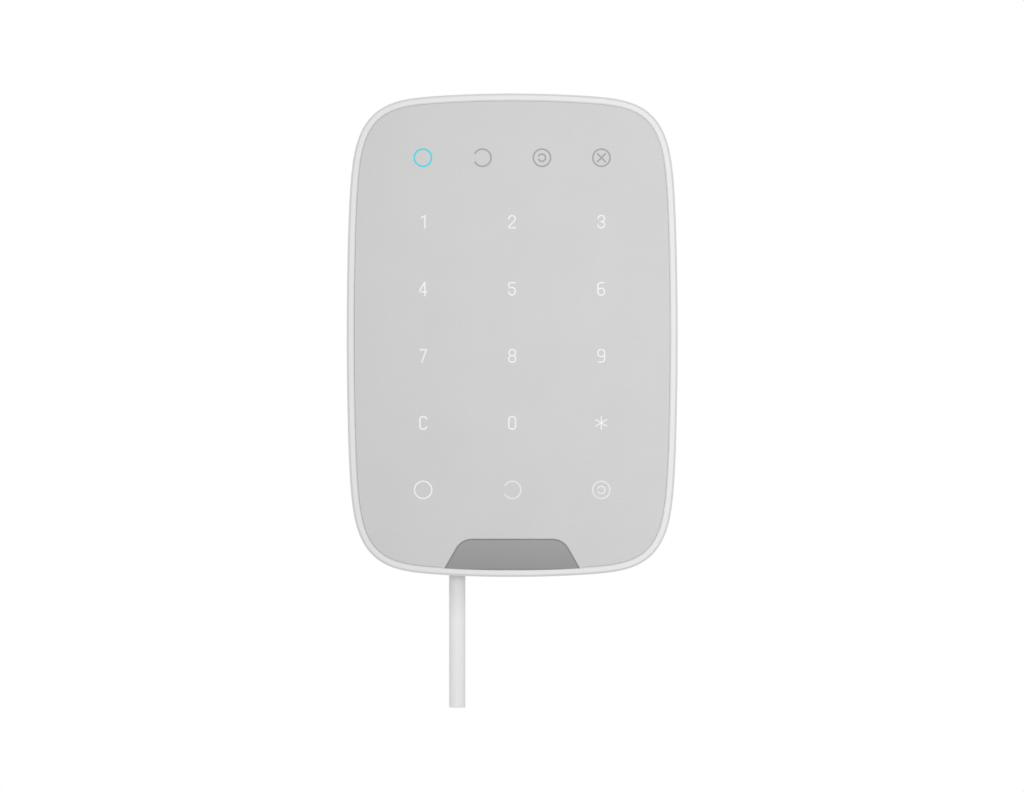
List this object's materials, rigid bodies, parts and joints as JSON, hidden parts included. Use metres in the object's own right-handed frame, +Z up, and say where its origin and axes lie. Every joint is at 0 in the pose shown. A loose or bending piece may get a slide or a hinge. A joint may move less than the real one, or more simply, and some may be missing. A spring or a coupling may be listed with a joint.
{
  "type": "wall alarm keypad",
  "caption": "Slim wall keypad for an alarm or door lock: touch panel in a rounded frame on a hook-on bracket, with a bare grey badge and a cable tail.",
  "frame": {"origin": "middle of the wall bracket's rear face, on the wall", "axes": "+Z up, +X to the right as seen from the front, -Y out of the wall towards the user"},
  "size_m": [0.1028, 0.014, 0.191],
  "materials": {
    "housing_white": "satin moulded ABS",
    "cover_white": "matt moulded ABS",
    "bracket_white": "matt moulded ABS",
    "panel_grey": "satin light grey panel with a fine grain",
    "badge_grey": "satin mid grey plate",
    "adhesive": "matt foam tape",
    "film": "satin amber film",
    "mask_white": "matt white, hides light",
    "board_green": "solder mask over glass laminate",
    "connector_ivory": "matt nylon",
    "sounder_black": "matt",
    "chip_black": "matt epoxy",
    "ferrite_grey": "matt ferrite",
    "can_aluminium": "drawn",
    "switch_black": "matt",
    "plunger_white": "smooth acetal",
    "spring_steel": "drawn wire",
    "terminal_green": "matt nylon",
    "screw_steel": "zinc plated",
    "wire_red": "satin insulation",
    "wire_black": "satin insulation",
    "wire_green": "satin insulation",
    "wire_yellow": "satin insulation",
    "jacket_white": "satin white sheath",
    "tie_white": "satin nylon",
    "led_white": "clear cast resin over a white body"
  },
  "bodies": {
    "bracket": {"mounting_bracket": "bracket_white"},
    "keypad": {"front_frame": "housing_white", "rear_cover": "cover_white", "front_panel": "panel_grey", "badge_insert": "badge_grey", "panel_adhesive": "adhesive", "touch_film": "film", "light_mask": "mask_white", "main_board": "board_green", "film_connector": "connector_ivory", "sounder": "sounder_black", "controller_chip": "chip_black", "touch_chip": "chip_black", "regulator": "chip_black", "inductor": "ferrite_grey", "capacitor": "can_aluminium", "tamper_switch": "switch_black", "tamper_spring": "spring_steel", "terminal_block": "terminal_green", "cable": "jacket_white", "cable_tie": "tie_white", "wire_1": "wire_red", "wire_2": "wire_black", "wire_3": "wire_green", "wire_4": "wire_yellow", "cover_screw_1": "screw_steel", "cover_screw_2": "screw_steel", "cover_screw_3": "screw_steel", "cover_screw_4": "screw_steel", "cover_screw_5": "screw_steel", "cover_screw_6": "screw_steel", "led_status_1": "led_white", "led_status_2": "led_white", "led_status_3": "led_white", "led_status_4": "led_white", "led_key_1": "led_white", "led_key_2": "led_white", "led_key_3": "led_white", "led_key_4": "led_white", "led_key_5": "led_white", "led_key_6": "led_white", "led_key_7": "led_white", "led_key_8": "led_white", "led_key_9": "led_white", "led_key_10": "led_white", "led_key_11": "led_white", "led_key_12": "led_white", "led_key_13": "led_white", "led_key_14": "led_white", "led_key_15": "led_white"},
    "tamper_plunger": {"tamper_plunger": "plunger_white"},
    "fixing_screw": {"fixing_screw": "screw_steel"},
    "terminal_screw_1": {"terminal_screw_1": "screw_steel"},
    "terminal_screw_2": {"terminal_screw_2": "screw_steel"},
    "terminal_screw_3": {"terminal_screw_3": "screw_steel"},
    "terminal_screw_4": {"terminal_screw_4": "screw_steel"}
  },
  "joints": [
    {"name": "keypad_slide", "type": "slide", "parent": "bracket", "child": "keypad", "axis": [0, 0, 1], "range_m": [0, 0.006]},
    {"name": "tamper_press", "type": "slide", "parent": "keypad", "child": "tamper_plunger", "axis": [0, -1, 0], "range_m": [0, 0.0005], "stiffness_N_per_m": 300, "springref_m": -0.002, "deforming": ["tamper_spring"]},
    {"name": "fixing_screw_turn", "type": "hinge", "parent": "bracket", "child": "fixing_screw", "pos_m": [0, -0.005, -0.0728], "axis": [0, 0, 1], "continuous": true},
    {"name": "terminal_screw_1_turn", "type": "hinge", "parent": "keypad", "child": "terminal_screw_1", "pos_m": [-0.02242, -0.0022, -0.0319], "axis": [0, 1, 0], "continuous": true},
    {"name": "terminal_screw_2_turn", "type": "hinge", "parent": "keypad", "child": "terminal_screw_2", "pos_m": [-0.01892, -0.0022, -0.0319], "axis": [0, 1, 0], "continuous": true},
    {"name": "terminal_screw_3_turn", "type": "hinge", "parent": "keypad", "child": "terminal_screw_3", "pos_m": [-0.01542, -0.0022, -0.0319], "axis": [0, 1, 0], "continuous": true},
    {"name": "terminal_screw_4_turn", "type": "hinge", "parent": "keypad", "child": "terminal_screw_4", "pos_m": [-0.01192, -0.0022, -0.0319], "axis": [0, 1, 0], "continuous": true}
  ]
}
